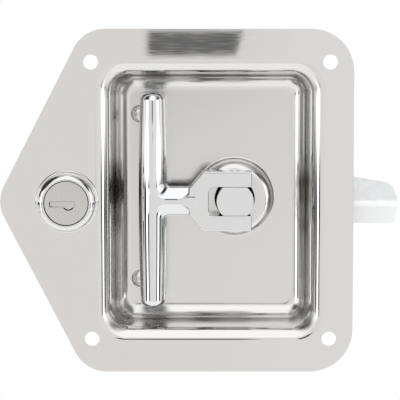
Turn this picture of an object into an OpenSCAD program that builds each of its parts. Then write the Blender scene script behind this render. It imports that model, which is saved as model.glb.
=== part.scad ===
// Flush folding T-handle lock: drawn stainless dish, folding chrome handle, key lock and turning tongue.
// Each module is drawn lying on its back: x to the right, y up the door, z out towards the user.
// stand() then turns the whole part upright, so that the front faces -Y and z = 0 is the back of the flange.

/* [Plate] */
// Thickness of the drawn sheet
sheet_t = 1.5; // [1.2:0.1:2]
// Height of the face plate
plate_h = 120.65; // [116:0.05:130]
// Right edge of the plate from the centre of the hole pattern
plate_right = 50; // [49:0.25:56]
// Where the sloping edges would meet the top and bottom edges
plate_slope_start = 44.1; // [42:0.1:50]
// Angle of the sloping edges away from upright
plate_slope = 27.25; // [24:0.25:32]
// Radius of the two right-hand corners
corner_r = 15; // [10:0.5:18]
// Radius of the two left-hand corners
slope_corner_r = 12.3; // [8:0.1:16]
// Radius of the tip
tip_r = 12; // [8:0.5:16]
// Spacing of the mounting holes across
hole_dx = 83.5; // [82:0.25:86]
// Spacing of the mounting holes up
hole_dy = 97.5; // [96:0.25:102]
// Diameter of the mounting holes
hole_d = 5.3; // [4:0.1:6.5]

/* [Dish] */
// Width of the dish where the lip starts to bend
dish_w = 79.4; // [77:0.2:80.6]
// Height of the dish where the lip starts to bend
dish_h = 97; // [93:0.2:98]
// Depth of the dish from the flange face to its floor
dish_depth = 18; // [16:0.5:22]
// Corner radius of the dish where the lip starts to bend
dish_corner_r = 11.5; // [10.5:0.25:14]
// Radius of the lip on the face side
lip_r = 4.4; // [3:0.1:4.8]
// Radius between the wall and the floor on the face side
floor_r = 4.8; // [3:0.1:5.2]

/* [Boss] */
// Outside radius of the boss drawn up around the spindle
boss_r = 13.5; // [13:0.1:15]
// Radius of the top edge of the boss
boss_top_r = 2.5; // [2.2:0.1:3.5]
// Radius at the foot of the boss
boss_foot_r = 1.2; // [1:0.1:2.5]
// Radius of the hole in the top of the boss
boss_hole_r = 7.1; // [6.9:0.05:8]

/* [Handle] */
// Spindle axis from the centre of the hole pattern
axis_x = 8.6; // [6:0.1:11]
// Distance from the spindle axis to the grip bar axis
bar_reach = 28.9; // [28:0.1:30]
// Length of the grip bar
bar_length = 75.2; // [66:0.2:80]
// Radius of the grip bar in the middle
bar_mid_r = 5.05; // [4.6:0.05:5.5]
// Radius of the grip bar at the ends
bar_end_r = 3.75; // [3:0.05:4.4]
// Radius of the rounded rim at each end of the grip bar
bar_tip_r = 2.3; // [1.5:0.1:3]
// Width of the neck at its foot
neck_w = 9.4; // [8:0.1:10]
// Width of the flat crest of the neck
crest_w = 1.8; // [1:0.1:3]
// Radius of the blend between the neck and the bar
neck_blend_r = 4; // [2:0.1:5]
// Width over the two legs of the fork
fork_w = 21.1; // [19.5:0.1:23]
// Length of the leg ends past the pin
leg_reach = 5.9; // [5.2:0.1:6.2]
// Depth of the pin below the flush face
pin_drop = 3.9; // [3.4:0.1:4.4]
// Diameter of the pivot pin
pin_d = 4; // [3:0.1:4.4]

/* [Spindle] */
// Diameter of the spindle
spindle_d = 13; // [12:0.1:13.4]
// Width across the flats of the spindle top
spindle_flats = 10; // [9:0.1:10.6]
// Square drive for the collar and the tongue
drive_sq = 8.6; // [8:0.1:9]
// Diameter of the threaded end
thread_d = 8; // [6:0.5:8]
// Thickness of the tongue plate
tongue_t = 3; // [2.5:0.1:4]
// Reach of the tongue tip from the spindle axis
tongue_reach = 59.4; // [56:0.2:66]
// Lean of the bent-back lead-in along the tongue
lead_in_angle = 42; // [30:1:50]

/* [Lock] */
// Distance from the edge of the dish lip to the lock axis
lock_inset = 10.55; // [10.55:0.05:12]
// Radius of the bezel foot
bezel_r = 11.1; // [10.8:0.1:12]
// Height of the bezel above the flange
bezel_h = 6; // [5:0.1:7]
// Radius of the plug face
plug_face_r = 7.8; // [7:0.05:8]
// Length of the keyway
keyway_w = 9.4; // [8:0.1:9.8]
// Height of the keyway
keyway_h = 2.1; // [1.8:0.1:2.6]
// Throw of the cam pin
cam_throw = 5; // [4.6:0.1:5.2]
// Angle of one turn of the key
key_turn = 90; // [80:1:95]

/* [Hidden] */
$fn = 72;

// Small distances that keep neighbours apart
overlap = 0.5;
seat_gap = 0.05;
run_gap = 0.05;
side_gap = 0.1;
clear_gap = 0.3;

// Levels of the dish
face_z = sheet_t;
floor_z = face_z - dish_depth;
back_z = floor_z - sheet_t;
pin_z = face_z - pin_drop;
fork_foot_z = pin_z - leg_reach;
boss_top_z = fork_foot_z - 0.2;
boss_under_z = boss_top_z - sheet_t;
bush_top_z = boss_under_z - seat_gap;

// Radius left in the corners of the dish floor, and the overlap where the sheet pieces join
floor_corner_r = dish_corner_r - lip_r - floor_r;
join_w = 0.8;

// Stack behind the dish
washer_t = 1.8;
washer_r = 11.6;
collar_t = 2.5;
spring_washer_t = 1.6;
spring_washer_r = 6.8;
spring_split = 0.7;
nut_t = 6.5;
nut_af = 13;
washer_z = back_z - washer_t;
collar_z = washer_z - collar_t;
tongue_z = collar_z - tongue_t;
spring_z = tongue_z - spring_washer_t;
nut_z = spring_z - nut_t;
thread_past_nut = 2;
thread_end_z = nut_z - thread_past_nut;
drive_end_z = tongue_z + 0.2;
spindle_r = spindle_d / 2;
seal_z = (bush_top_z + back_z) / 2;
seal_section_r = 0.7;
seal_groove_r = spindle_r - 2 * seal_section_r + side_gap;
bush_r = boss_r - sheet_t - seat_gap;

// Sliding bar between the lock and the collar
bar_plate_t = 3;
bar_front_z = back_z - clear_gap;
bar_back_z = bar_front_z - bar_plate_t;
bar_travel = 2 * cam_throw * sin(key_turn / 2);
nose_half = 3.5;
lug_r = 22;
nose_rest_gap = 1.1;
nose_rest_x = axis_x - lug_r - nose_rest_gap;
cam_pin_r = 1.5;
cam_pin_gap = 0.35;
head_half_x = 10.4;
head_half_y = 9;
tail_r = 3;
tail_flats = 4.6;

// Strap that carries the sliding bar, and the stops made by its legs
rivet_inset = 14.5;
rivet_x = rivet_inset - dish_w / 2;
rivet_y = 29.7;
rivet_d = 3.2;
rivet_head_r = 3.15;
rivet_head_h = 1.5;
strap_t = 1.5;
strap_half_w = 8.6;
strap_leg_y = 10.5;
strap_end_y = rivet_y + 5.5;
strap_top_z = bar_back_z - clear_gap;
arm_half_w = 2.5;
stop_gap = 0.4;
strap_edge = [axis_x - rivet_x - strap_half_w, strap_leg_y];
arm_r = norm(strap_edge) + 4;
arm_angle = atan2(strap_edge[1], strap_edge[0]) + asin((arm_half_w + stop_gap) / norm(strap_edge));
collar_hub_r = 12.6;
lug_h = 6;
lug_gap = 0.4;

// Lock body
lock_x = dish_w / 2 + lock_inset;
bezel_top_z = face_z + bezel_h;
plug_face_z = bezel_top_z - 0.4;
cap_t = 0.7;
plug_head_z = plug_face_z - 2.6;
plug_core_r = 6.3;
housing_r = 9.4;
housing_flats = 16.4;
housing_end_z = back_z + 0.4;
plug_end_z = housing_end_z - 0.05;
cam_t = 2;
cam_front_z = strap_top_z + 0.1;
cam_back_z = cam_front_z - cam_t;
clip_t = 1.2;
clip_half_w = lock_inset - clear_gap - seat_gap;
clip_slot_half = 7.6;
clip_bridge = 4.6;

// Shutter pocket behind the cap
pocket_w = 10;
pocket_h = 4.4;
pocket_d = 4.6;
pocket_top_y = 2.6;
flap_w = 9.6;
flap_t = 0.5;
flap_pin_r = 0.4;
flap_z = plug_face_z - cap_t - 0.15 - flap_t;
flap_pin_y = pocket_top_y - 0.95;
flap_pin_z = flap_z + flap_t - flap_pin_r - 0.35;

// General helpers

module stand() rotate([90, 0, 0]) children();

module at_spindle() translate([axis_x, 0, 0]) children();

module at_lock() translate([-lock_x, 0, 0]) children();

// A solid between two levels, drawn from a flat outline
module slab(low, high) translate([0, 0, low]) linear_extrude(high - low) children();

module rod(r, low, high) translate([0, 0, low]) cylinder(r = r, h = high - low);

function unit(v) = v / norm(v);

function heading(angle) = [cos(angle), sin(angle)];

function corner_angle(p, a, b) = acos(unit(a - p) * unit(b - p));

function round_start(p, a, b, r) = p + unit(a - p) * r / tan(corner_angle(p, a, b) / 2);

function round_centre(p, a, b, r) =
    p + unit(unit(a - p) + unit(b - p)) * r / sin(corner_angle(p, a, b) / 2);

// A straight-sided outline with a true arc at each corner
module rounded_outline(points, radii) {
    n = len(points);
    polygon([
        for (i = [0 : n - 1])
            each [
                round_start(points[i], points[(i + n - 1) % n], points[(i + 1) % n], radii[i]),
                round_start(points[i], points[(i + 1) % n], points[(i + n - 1) % n], radii[i])
            ]
    ]);
    for (i = [0 : n - 1])
        translate(round_centre(points[i], points[(i + n - 1) % n], points[(i + 1) % n], radii[i]))
            circle(r = radii[i]);
}

module rounded_box(half_x, half_y, r)
    rounded_outline(
        [[half_x, half_y], [-half_x, half_y], [-half_x, -half_y], [half_x, -half_y]],
        [r, r, r, r]
    );

// Part of a ring between two angles less than a half turn apart
module ring_sector(inner, outer, from, to) {
    far = 3 * outer;
    mid = (from + to) / 2;
    intersection() {
        difference() {
            circle(r = outer);
            circle(r = inner);
        }
        polygon([
            [0, 0],
            far * heading(from),
            far * heading(mid),
            far * heading(to)
        ]);
    }
}

// A round bar cut by two flats
module double_d(r, flats, low, high) {
    intersection() {
        rod(r, low, high);
        translate([-2 * r, -flats / 2, low])
            cube([4 * r, flats, high - low]);
    }
}

module square_drive(side, low, high)
    translate([-side / 2, -side / 2, low])
        cube([side, side, high - low]);

// Mounting pan

module plate_outline()
    rounded_outline(
        [
            [plate_right, plate_h / 2],
            [-plate_slope_start, plate_h / 2],
            [-plate_slope_start - plate_h / 2 * tan(plate_slope), 0],
            [-plate_slope_start, -plate_h / 2],
            [plate_right, -plate_h / 2]
        ],
        [corner_r, slope_corner_r, tip_r, slope_corner_r, corner_r]
    );

// Section of the dish wall, measured outwards from the centre of a corner
module wall_section() {
    wall_front = dish_corner_r - lip_r;
    wall_low = floor_z + floor_r;
    wall_high = face_z - lip_r;
    translate([dish_corner_r, wall_high])
        ring_sector(lip_r - sheet_t, lip_r, 90, 180);
    translate([wall_front, wall_low])
        square([sheet_t, wall_high - wall_low]);
    translate([floor_corner_r, wall_low])
        ring_sector(floor_r, floor_r + sheet_t, 270, 360);
    translate([dish_corner_r, 0])
        square([join_w, sheet_t]);
    translate([floor_corner_r - join_w, back_z])
        square([join_w, sheet_t]);
}

// One straight wall of the dish, its section turned towards +x
module straight_wall(length)
    rotate([90, 0, 0])
        linear_extrude(length, center = true)
            wall_section();

module boss_section() {
    wall_foot_z = floor_z + boss_foot_r;
    wall_top_z = boss_top_z - boss_top_r;
    translate([boss_r + boss_foot_r, wall_foot_z])
        ring_sector(boss_foot_r, boss_foot_r + sheet_t, 180, 270);
    translate([boss_r - sheet_t, wall_foot_z])
        square([sheet_t, wall_top_z - wall_foot_z]);
    translate([boss_r - boss_top_r, wall_top_z])
        ring_sector(boss_top_r - sheet_t, boss_top_r, 0, 90);
    translate([boss_hole_r, boss_under_z])
        square([boss_r - boss_top_r - boss_hole_r, sheet_t]);
    translate([boss_r + boss_foot_r, back_z])
        square([join_w, sheet_t]);
}

module mounting_pan() {
    inset_x = dish_w / 2 - dish_corner_r;
    inset_y = dish_h / 2 - dish_corner_r;
    floor_in = floor_corner_r - join_w / 2;
    color([0.8, 0.8, 0.78]) {
        slab(0, face_z)
            difference() {
                plate_outline();
                rounded_box(dish_w / 2 + join_w / 2, dish_h / 2 + join_w / 2, dish_corner_r + join_w / 2);
                for (x = [-1, 1], y = [-1, 1])
                    translate([x * hole_dx / 2, y * hole_dy / 2])
                        circle(d = hole_d);
                translate([-lock_x, 0])
                    intersection() {
                        circle(r = housing_r + side_gap);
                        square([4 * housing_r, housing_flats + 2 * side_gap], center = true);
                    }
            }
        for (side = [-1, 1]) {
            translate([side * inset_x, 0, 0])
                rotate([0, 0, side > 0 ? 0 : 180])
                    straight_wall(2 * inset_y);
            translate([0, side * inset_y, 0])
                rotate([0, 0, side * 90])
                    straight_wall(2 * inset_x);
        }
        for (turn = [0 : 3]) {
            right = turn == 0 || turn == 3;
            top = turn < 2;
            translate([right ? inset_x : -inset_x, top ? inset_y : -inset_y, 0])
                rotate([0, 0, 90 * turn])
                    rotate_extrude(angle = 90)
                        wall_section();
        }
        slab(back_z, floor_z)
            difference() {
                rounded_box(inset_x + floor_in, inset_y + floor_in, floor_in);
                translate([axis_x, 0])
                    circle(r = boss_r + boss_foot_r + join_w / 2);
                for (y = [-1, 1])
                    translate([rivet_x, y * rivet_y])
                        circle(r = rivet_d / 2 + seat_gap);
            }
        at_spindle()
            rotate_extrude()
                boss_section();
    }
}

// Bush pressed into the back of the boss

module spindle_bush() {
    chamfer = 1.4;
    color([0.62, 0.52, 0.32])
        at_spindle()
            rotate_extrude()
                polygon([
                    [spindle_r + run_gap, back_z],
                    [bush_r, back_z],
                    [bush_r, bush_top_z - chamfer],
                    [bush_r - chamfer, bush_top_z],
                    [boss_hole_r, bush_top_z],
                    [spindle_r + run_gap, bush_top_z - 0.6]
                ]);
}

// Strap on the back of the dish floor

module strap_section() {
    foot_z = back_z - strap_t;
    ridge_z = strap_top_z - strap_t;
    inner_y = strap_leg_y - strap_t;
    polygon([
        [strap_end_y, back_z],
        [strap_end_y, foot_z],
        [strap_leg_y, foot_z],
        [strap_leg_y, ridge_z],
        [-strap_leg_y, ridge_z],
        [-strap_leg_y, foot_z],
        [-strap_end_y, foot_z],
        [-strap_end_y, back_z],
        [-inner_y, back_z],
        [-inner_y, strap_top_z],
        [inner_y, strap_top_z],
        [inner_y, back_z]
    ]);
}

module guide_strap() {
    color([0.74, 0.76, 0.78])
        difference() {
            intersection() {
                translate([rivet_x - strap_half_w, 0, 0])
                    rotate([90, 0, 90])
                        linear_extrude(2 * strap_half_w)
                            strap_section();
                slab(strap_top_z - 2 * strap_t, back_z + strap_t)
                    translate([rivet_x, 0])
                        rounded_box(strap_half_w, strap_end_y, 3);
            }
            for (y = [-1, 1])
                translate([rivet_x, y * rivet_y, 0])
                    rod(rivet_d / 2 + seat_gap, strap_top_z - 2 * strap_t, back_z + strap_t);
        }
}

module strap_rivets() {
    ball_r = (rivet_head_r * rivet_head_r + rivet_head_h * rivet_head_h) / (2 * rivet_head_h);
    upset_r = rivet_d * 0.8;
    upset_h = 1.2;
    upset_z = back_z - strap_t - upset_h;
    color([0.72, 0.72, 0.72])
        for (y = [-1, 1])
            translate([rivet_x, y * rivet_y, 0]) {
                rod(rivet_d / 2, upset_z, floor_z + overlap);
                intersection() {
                    translate([0, 0, floor_z + rivet_head_h - ball_r])
                        sphere(r = ball_r);
                    rod(2 * rivet_head_r, floor_z, floor_z + 2 * rivet_head_h);
                }
                rod(upset_r, upset_z, back_z - strap_t);
            }
}

// Lock housing and its clip

module bezel_section() {
    foot_h = 1;
    neck_r = bezel_r - 0.9;
    crest_r = 2.2;
    difference() {
        union() {
            translate([0, face_z])
                square([bezel_r - 0.5, foot_h]);
            translate([0, face_z])
                square([bezel_r, foot_h - 0.5]);
            translate([bezel_r - 0.5, face_z + foot_h - 0.5])
                circle(r = 0.5);
            translate([0, face_z])
                square([neck_r, bezel_h - crest_r]);
            translate([0, face_z])
                square([neck_r - crest_r, bezel_h]);
            translate([neck_r - crest_r, bezel_top_z - crest_r])
                circle(r = crest_r);
        }
        translate([-overlap, face_z - overlap])
            square([plug_face_r + run_gap + overlap, bezel_h + 2 * overlap]);
        polygon([
            [plug_face_r + run_gap - overlap, bezel_top_z + overlap],
            [plug_face_r + run_gap - overlap, bezel_top_z - overlap],
            [plug_face_r + run_gap, bezel_top_z - overlap],
            [plug_face_r + run_gap + 2 * overlap, bezel_top_z + overlap]
        ]);
    }
}

module lock_housing() {
    groove = 0.05;
    color([0.82, 0.83, 0.85])
        at_lock()
            difference() {
                union() {
                    rotate_extrude()
                        bezel_section();
                    intersection() {
                        rod(housing_r, housing_end_z, face_z);
                        translate([-2 * housing_r, -housing_flats / 2, housing_end_z])
                            cube([4 * housing_r, housing_flats, face_z - housing_end_z]);
                    }
                    rod(plug_face_r + overlap, face_z - overlap, plug_head_z - run_gap);
                }
                rod(plug_core_r + run_gap, housing_end_z - overlap, bezel_top_z);
                rod(plug_face_r + run_gap, plug_head_z - run_gap, bezel_top_z);
                for (side = [-1, 1])
                    translate([side * (clip_slot_half + housing_r), 0, -clip_t / 2 - groove])
                        cube([2 * housing_r, 4 * housing_r, clip_t + 2 * groove], center = true);
            }
}

module retaining_clip() {
    bridge_y = housing_flats / 2 + clip_bridge;
    leg_y = -10.6;
    color([0.7, 0.7, 0.68])
        at_lock()
            slab(-clip_t - 0.02, -0.02)
                difference() {
                    rounded_outline(
                        [
                            [clip_half_w, bridge_y],
                            [-clip_half_w, bridge_y],
                            [-clip_half_w, leg_y],
                            [clip_half_w, leg_y]
                        ],
                        [4, 4, 1, 1]
                    );
                    translate([-clip_slot_half - seat_gap, leg_y - overlap])
                        square([2 * (clip_slot_half + seat_gap), bridge_y - leg_y - 3]);
                }
}

// Spindle and the pieces clamped on it

module spindle() {
    tip_chamfer = 1;
    thread_r = thread_d / 2;
    color([0.8, 0.8, 0.8])
        at_spindle()
            difference() {
                union() {
                    double_d(spindle_r, spindle_flats, fork_foot_z, face_z);
                    rod(spindle_r, washer_z, fork_foot_z);
                    intersection() {
                        square_drive(drive_sq, drive_end_z, washer_z);
                        rod(drive_sq * 0.66, drive_end_z, washer_z);
                    }
                    rod(thread_r, thread_end_z + tip_chamfer, drive_end_z);
                    translate([0, 0, thread_end_z])
                        cylinder(r1 = thread_r - tip_chamfer, r2 = thread_r, h = tip_chamfer);
                }
                translate([0, 0, pin_z])
                    rotate([90, 0, 0])
                        cylinder(r = pin_d / 2 + run_gap, h = 2 * spindle_d, center = true);
                difference() {
                    rod(spindle_r + overlap, seal_z - 0.9, seal_z + 0.9);
                    rod(seal_groove_r, seal_z - 1.9, seal_z + 1.9);
                }
            }
}

module spindle_seal() {
    color([0.08, 0.08, 0.08])
        at_spindle()
            translate([0, 0, seal_z])
                rotate_extrude()
                    translate([spindle_r - seal_section_r + 0.04, 0])
                        circle(r = seal_section_r - 0.08);
}

module thrust_washer() {
    color([0.75, 0.7, 0.55])
        at_spindle()
            slab(washer_z + 0.02, back_z - 0.02)
                difference() {
                    circle(r = washer_r);
                    circle(r = spindle_r + side_gap);
                }
}

// Plate on the spindle: two arms that meet the strap legs and a lug for the sliding bar
module collar_outline() {
    difference() {
        union() {
            circle(r = collar_hub_r);
            for (turn = [180 - arm_angle, 270 + arm_angle])
                rotate(turn) {
                    translate([0, -arm_half_w])
                        square([arm_r - arm_half_w, 2 * arm_half_w]);
                    translate([arm_r - arm_half_w, 0])
                        circle(r = arm_half_w);
                }
            intersection() {
                circle(r = lug_r);
                translate([-lug_r, -nose_half - lug_gap - lug_h])
                    square([lug_r, lug_h]);
            }
        }
        square(drive_sq + 2 * seat_gap, center = true);
    }
}

module lock_collar() {
    color([0.72, 0.73, 0.75])
        at_spindle()
            slab(collar_z, washer_z)
                collar_outline();
}

// Turning tongue: a flat lower strip and an upper side bent back as a lead-in
tongue_low_y = -10.3;
tongue_bend_y = -4.8;
tongue_hub_r = 12.6;
tongue_top_y = 6.9;
tongue_top_run = 12;
tongue_nose_y = 3.3;
tongue_nose_in = 1.8;
tongue_nose_r = 3.4;
tongue_tip_rise = 3;
tongue_tip_r = 6;

// The wedge behind one face of the bent sheet, rounded where the sheet bends
module bend_wedge(bend, r) {
    lean = heading(-lead_in_angle);
    far = 40;
    tip = bend + heading(90 - lead_in_angle / 2) * r / cos(lead_in_angle / 2);
    rounded_outline(
        [tip, tip + [-far, 0], tip + [-far, -far], tip + far * lean],
        [r, 1, 1, 1]
    );
}

module tongue_section() {
    bend_r = 1.5;
    bend = [tongue_bend_y, tongue_z - bend_r];
    difference() {
        bend_wedge(bend, bend_r + tongue_t);
        bend_wedge(bend, bend_r);
    }
}

module tongue_outline() {
    root_x = 24;
    rounded_outline(
        [
            [tongue_reach - 1.2, tongue_low_y],
            [tongue_reach, tongue_bend_y + tongue_tip_rise],
            [tongue_reach - tongue_nose_in, tongue_nose_y],
            [root_x + tongue_top_run, tongue_top_y],
            [root_x, tongue_top_y],
            [root_x, tongue_low_y]
        ],
        [1.6, tongue_tip_r, tongue_nose_r, 2, 2, 0.5]
    );
}

module latch_tongue() {
    root_x = 24;
    blend_x = 12;
    slit_w = 1;
    slit_low_y = tongue_bend_y - 0.5;
    color([0.74, 0.77, 0.82])
        at_spindle()
            difference() {
                union() {
                    slab(tongue_z, collar_z)
                        circle(r = tongue_hub_r);
                    slab(tongue_z, collar_z)
                        polygon([
                            [0, -tongue_hub_r],
                            [blend_x, tongue_low_y],
                            [root_x + 2, tongue_low_y],
                            [root_x + 2, slit_low_y],
                            [root_x - slit_w, slit_low_y],
                            [root_x - slit_w, 3.5],
                            [blend_x, 9],
                            [0, tongue_hub_r]
                        ]);
                    intersection() {
                        translate([root_x - 1, 0, 0])
                            rotate([90, 0, 90])
                                linear_extrude(tongue_reach - root_x + 2)
                                    tongue_section();
                        slab(tongue_z - tongue_reach, collar_z + tongue_t)
                            tongue_outline();
                    }
                }
                square_drive(drive_sq + 2 * seat_gap, tongue_z - overlap, collar_z + overlap);
            }
}

module spring_washer() {
    color([0.6, 0.6, 0.62])
        at_spindle()
            slab(spring_z, tongue_z)
                difference() {
                    circle(r = spring_washer_r);
                    circle(r = thread_d / 2 + side_gap);
                    rotate(70)
                        translate([0, -spring_split / 2])
                            square([2 * spring_washer_r, spring_split]);
                }
}

module spindle_nut() {
    color([0.72, 0.73, 0.75])
        at_spindle()
            difference() {
                translate([0, 0, nut_z])
                    cylinder(r = nut_af / 2 / cos(30), h = nut_t, $fn = 6);
                rod(thread_d / 2 + seat_gap, nut_z - overlap, spring_z + overlap);
                difference() {
                    rod(nut_af, nut_z - overlap, spring_z);
                    translate([0, 0, nut_z - overlap])
                        cylinder(r1 = nut_af / 2 - overlap, r2 = nut_af / 2 + nut_t, h = nut_t + overlap);
                }
            }
}

// Folding handle and its pin

module fork_outline() {
    chamfer_x = -11.1;
    root_x = -15.9;
    root_y = neck_w / 2;
    polygon([
        [leg_reach, fork_w / 2],
        [chamfer_x, fork_w / 2],
        [root_x, root_y],
        [root_x, -root_y],
        [chamfer_x, -fork_w / 2],
        [leg_reach, -fork_w / 2]
    ]);
}

// Slot for the spindle top, closed towards the neck and rounded in its corners
module fork_slot() {
    slot_half = spindle_flats / 2 + side_gap;
    slot_reach = 9.3;
    corner = 1.2;
    slab(fork_foot_z - overlap, face_z + overlap) {
        translate([corner - slot_reach, -slot_half])
            square([slot_reach - corner + leg_reach + overlap, 2 * slot_half]);
        translate([-slot_reach, corner - slot_half])
            square([slot_reach, 2 * (slot_half - corner)]);
        for (side = [-1, 1])
            translate([corner - slot_reach, side * (slot_half - corner)])
                circle(r = corner);
    }
}

// Turns an outline of (x, z) points into a solid across the handle
module across(width)
    rotate([90, 0, 0])
        linear_extrude(width, center = true)
            children();

module grip_bar() {
    half = bar_length / 2 - bar_tip_r;
    drop = bar_mid_r - bar_end_r;
    bow_r = (half * half + drop * drop) / (2 * drop);
    translate([-bar_reach, 0, face_z - bar_mid_r])
        rotate([90, 0, 0])
            rotate_extrude() {
                intersection() {
                    translate([bar_mid_r - bow_r, 0])
                        circle(r = bow_r, $fn = 720);
                    translate([0, -half])
                        square([2 * bar_mid_r, 2 * half]);
                }
                for (side = [-1, 1])
                    translate([0, side * half]) {
                        intersection() {
                            translate([bar_end_r - bar_tip_r, 0])
                                circle(r = bar_tip_r);
                            translate([0, -bar_mid_r])
                                square(2 * bar_mid_r);
                        }
                        translate([0, -bar_tip_r])
                            square([bar_end_r - bar_tip_r, 2 * bar_tip_r]);
                    }
            }
}

module neck() {
    foot_z = fork_foot_z + 0.6;
    shoulder_drop = 2.1;
    shoulder_z = face_z - shoulder_drop;
    start_x = -bar_reach;
    end_x = -15;
    translate([start_x, 0, 0])
        rotate([90, 0, 90])
            linear_extrude(end_x - start_x)
                polygon([
                    [-crest_w / 2, face_z],
                    [-neck_w / 2, shoulder_z],
                    [-neck_w / 2, foot_z],
                    [neck_w / 2, foot_z],
                    [neck_w / 2, shoulder_z],
                    [crest_w / 2, face_z]
                ]);
}

// Rounded inside corners between the neck and the bar
module neck_blend() {
    corner_x = -bar_reach + bar_mid_r - 0.6;
    low = face_z - 1.6 * bar_mid_r;
    high = face_z - 0.75 * bar_mid_r;
    for (side = [-1, 1])
        mirror([0, side < 0 ? 1 : 0, 0])
            slab(low, high)
                difference() {
                    translate([corner_x - 1, neck_w / 2 - 1.6])
                        square([neck_blend_r + 1, neck_blend_r + 1.6]);
                    translate([corner_x + neck_blend_r, neck_w / 2 + neck_blend_r])
                        circle(r = neck_blend_r);
                }
}

// Flat top of the fork drawn in to the crest of the neck by two hollow curves
module neck_gusset() {
    curve_r = 4.3;
    tip_x = -19.7;
    root_x = -15;
    slab(fork_foot_z + 0.6, face_z)
        difference() {
            translate([tip_x, -neck_w / 2])
                square([root_x - tip_x, neck_w]);
            for (side = [-1, 1])
                translate([tip_x, side * (crest_w / 2 + curve_r - 0.15)])
                    circle(r = curve_r);
        }
}

module t_handle() {
    color([0.86, 0.87, 0.89])
        at_spindle()
            difference() {
                union() {
                    slab(fork_foot_z, face_z)
                        fork_outline();
                    grip_bar();
                    neck();
                    neck_gusset();
                    neck_blend();
                }
                fork_slot();
                across(2 * fork_w)
                    difference() {
                        translate([0, fork_foot_z - overlap])
                            square([leg_reach + overlap, leg_reach + overlap]);
                        translate([0, pin_z])
                            circle(r = leg_reach);
                    }
                translate([0, 0, pin_z])
                    rotate([90, 0, 0])
                        cylinder(r = pin_d / 2 + 0.02, h = 2 * fork_w, center = true);
            }
}

module pivot_pin() {
    pin_len = fork_w - 0.4;
    color([0.7, 0.7, 0.72])
        at_spindle()
            translate([0, 0, pin_z])
                rotate([90, 0, 0])
                    cylinder(d = pin_d, h = pin_len, center = true);
}

// Key plug with the wafers, cap, shutter and cam that turn with it

module keyway_outline() {
    ward_x = 0.6;
    ward_w = 3.4;
    ward_h = 0.9;
    translate([-keyway_w / 2 - 0.6, -keyway_h / 2])
        square([keyway_w, keyway_h]);
    translate([ward_x - 0.6, -keyway_h / 2 - ward_h])
        square([ward_w, ward_h + 0.1]);
}

wafer_count = 5;
wafer_t = 0.9;
wafer_pitch = 2.6;
wafer_first_z = plug_head_z - 6;
wafer_half_w = 5.1;

module wafer_outline(grow) {
    intersection() {
        circle(r = plug_core_r - 0.3 + grow);
        square([2 * (wafer_half_w + grow), 4 * plug_core_r], center = true);
    }
}

module key_plug() {
    color([0.78, 0.75, 0.6])
        at_lock()
            difference() {
                union() {
                    rod(plug_face_r, plug_head_z, plug_face_z - cap_t);
                    rod(plug_core_r, plug_end_z, plug_head_z);
                    double_d(tail_r, tail_flats, cam_back_z, plug_end_z);
                }
                slab(plug_end_z + 3, plug_face_z + overlap)
                    keyway_outline();
                slab(plug_face_z - cap_t - pocket_d, plug_face_z)
                    translate([-pocket_w / 2, pocket_top_y - pocket_h])
                        square([pocket_w, pocket_h]);
                for (i = [0 : wafer_count - 1])
                    slab(
                        wafer_first_z - i * wafer_pitch - seat_gap,
                        wafer_first_z - i * wafer_pitch + wafer_t + seat_gap
                    )
                        wafer_outline(seat_gap);
                translate([0, flap_pin_y, flap_pin_z])
                    rotate([0, 90, 0])
                        cylinder(r = flap_pin_r + 0.02, h = pocket_w + 2.4, center = true);
                rod(1.5, cam_back_z - overlap, plug_end_z + 1.5);
            }
}

module wafers() {
    window_y = keyway_h / 2 + 1.1;
    color([0.8, 0.66, 0.3])
        at_lock()
            for (i = [0 : wafer_count - 1])
                slab(wafer_first_z - i * wafer_pitch, wafer_first_z - i * wafer_pitch + wafer_t)
                    difference() {
                        wafer_outline(0);
                        translate([-wafer_half_w + 0.7, -window_y])
                            square([2 * wafer_half_w - 1.4, 2 * window_y]);
                    }
}

module plug_cap() {
    color([0.85, 0.85, 0.84])
        at_lock()
            slab(plug_face_z - cap_t, plug_face_z)
                difference() {
                    circle(r = plug_face_r);
                    keyway_outline();
                }
}

module dust_shutter() {
    flap_low_y = pocket_top_y - pocket_h + 0.15;
    knuckle_r = flap_pin_r + 0.35;
    color([0.8, 0.8, 0.82])
        at_lock()
            difference() {
                union() {
                    translate([-flap_w / 2, flap_low_y, flap_z])
                        cube([flap_w, flap_pin_y - flap_low_y, flap_t]);
                    translate([0, flap_pin_y, flap_pin_z])
                        rotate([0, 90, 0])
                            cylinder(r = knuckle_r, h = flap_w, center = true);
                }
                translate([0, flap_pin_y, flap_pin_z])
                    rotate([0, 90, 0])
                        cylinder(r = flap_pin_r + run_gap, h = 2 * flap_w, center = true);
            }
}

module shutter_pin() {
    color([0.6, 0.6, 0.62])
        at_lock()
            translate([0, flap_pin_y, flap_pin_z])
                rotate([0, 90, 0])
                    cylinder(r = flap_pin_r, h = pocket_w + 2, center = true);
}

module lock_cam() {
    start_turn = key_turn / 2;
    color([0.74, 0.75, 0.78])
        at_lock() {
            slab(cam_back_z, cam_front_z)
                difference() {
                    circle(r = cam_throw + cam_pin_r + 1.2);
                    intersection() {
                        circle(r = tail_r + seat_gap);
                        square([4 * tail_r, tail_flats + 2 * seat_gap], center = true);
                    }
                }
            rotate([0, 0, 90 + start_turn])
                translate([cam_throw, 0, 0])
                    rod(cam_pin_r, cam_front_z - overlap, bar_front_z - 0.1);
        }
}

module cam_screw() {
    head_r = 4;
    head_h = 2.2;
    screw_r = 1.45;
    recess_w = 0.9;
    color([0.7, 0.71, 0.74])
        at_lock()
            difference() {
                union() {
                    rod(screw_r, cam_back_z - overlap, plug_end_z + 1);
                    rod(head_r, cam_back_z - head_h, cam_back_z);
                }
                for (turn = [0, 90])
                    rotate([0, 0, turn])
                        translate([0, 0, cam_back_z - head_h])
                            cube([head_r, recess_w, 2.4], center = true);
            }
}

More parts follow.
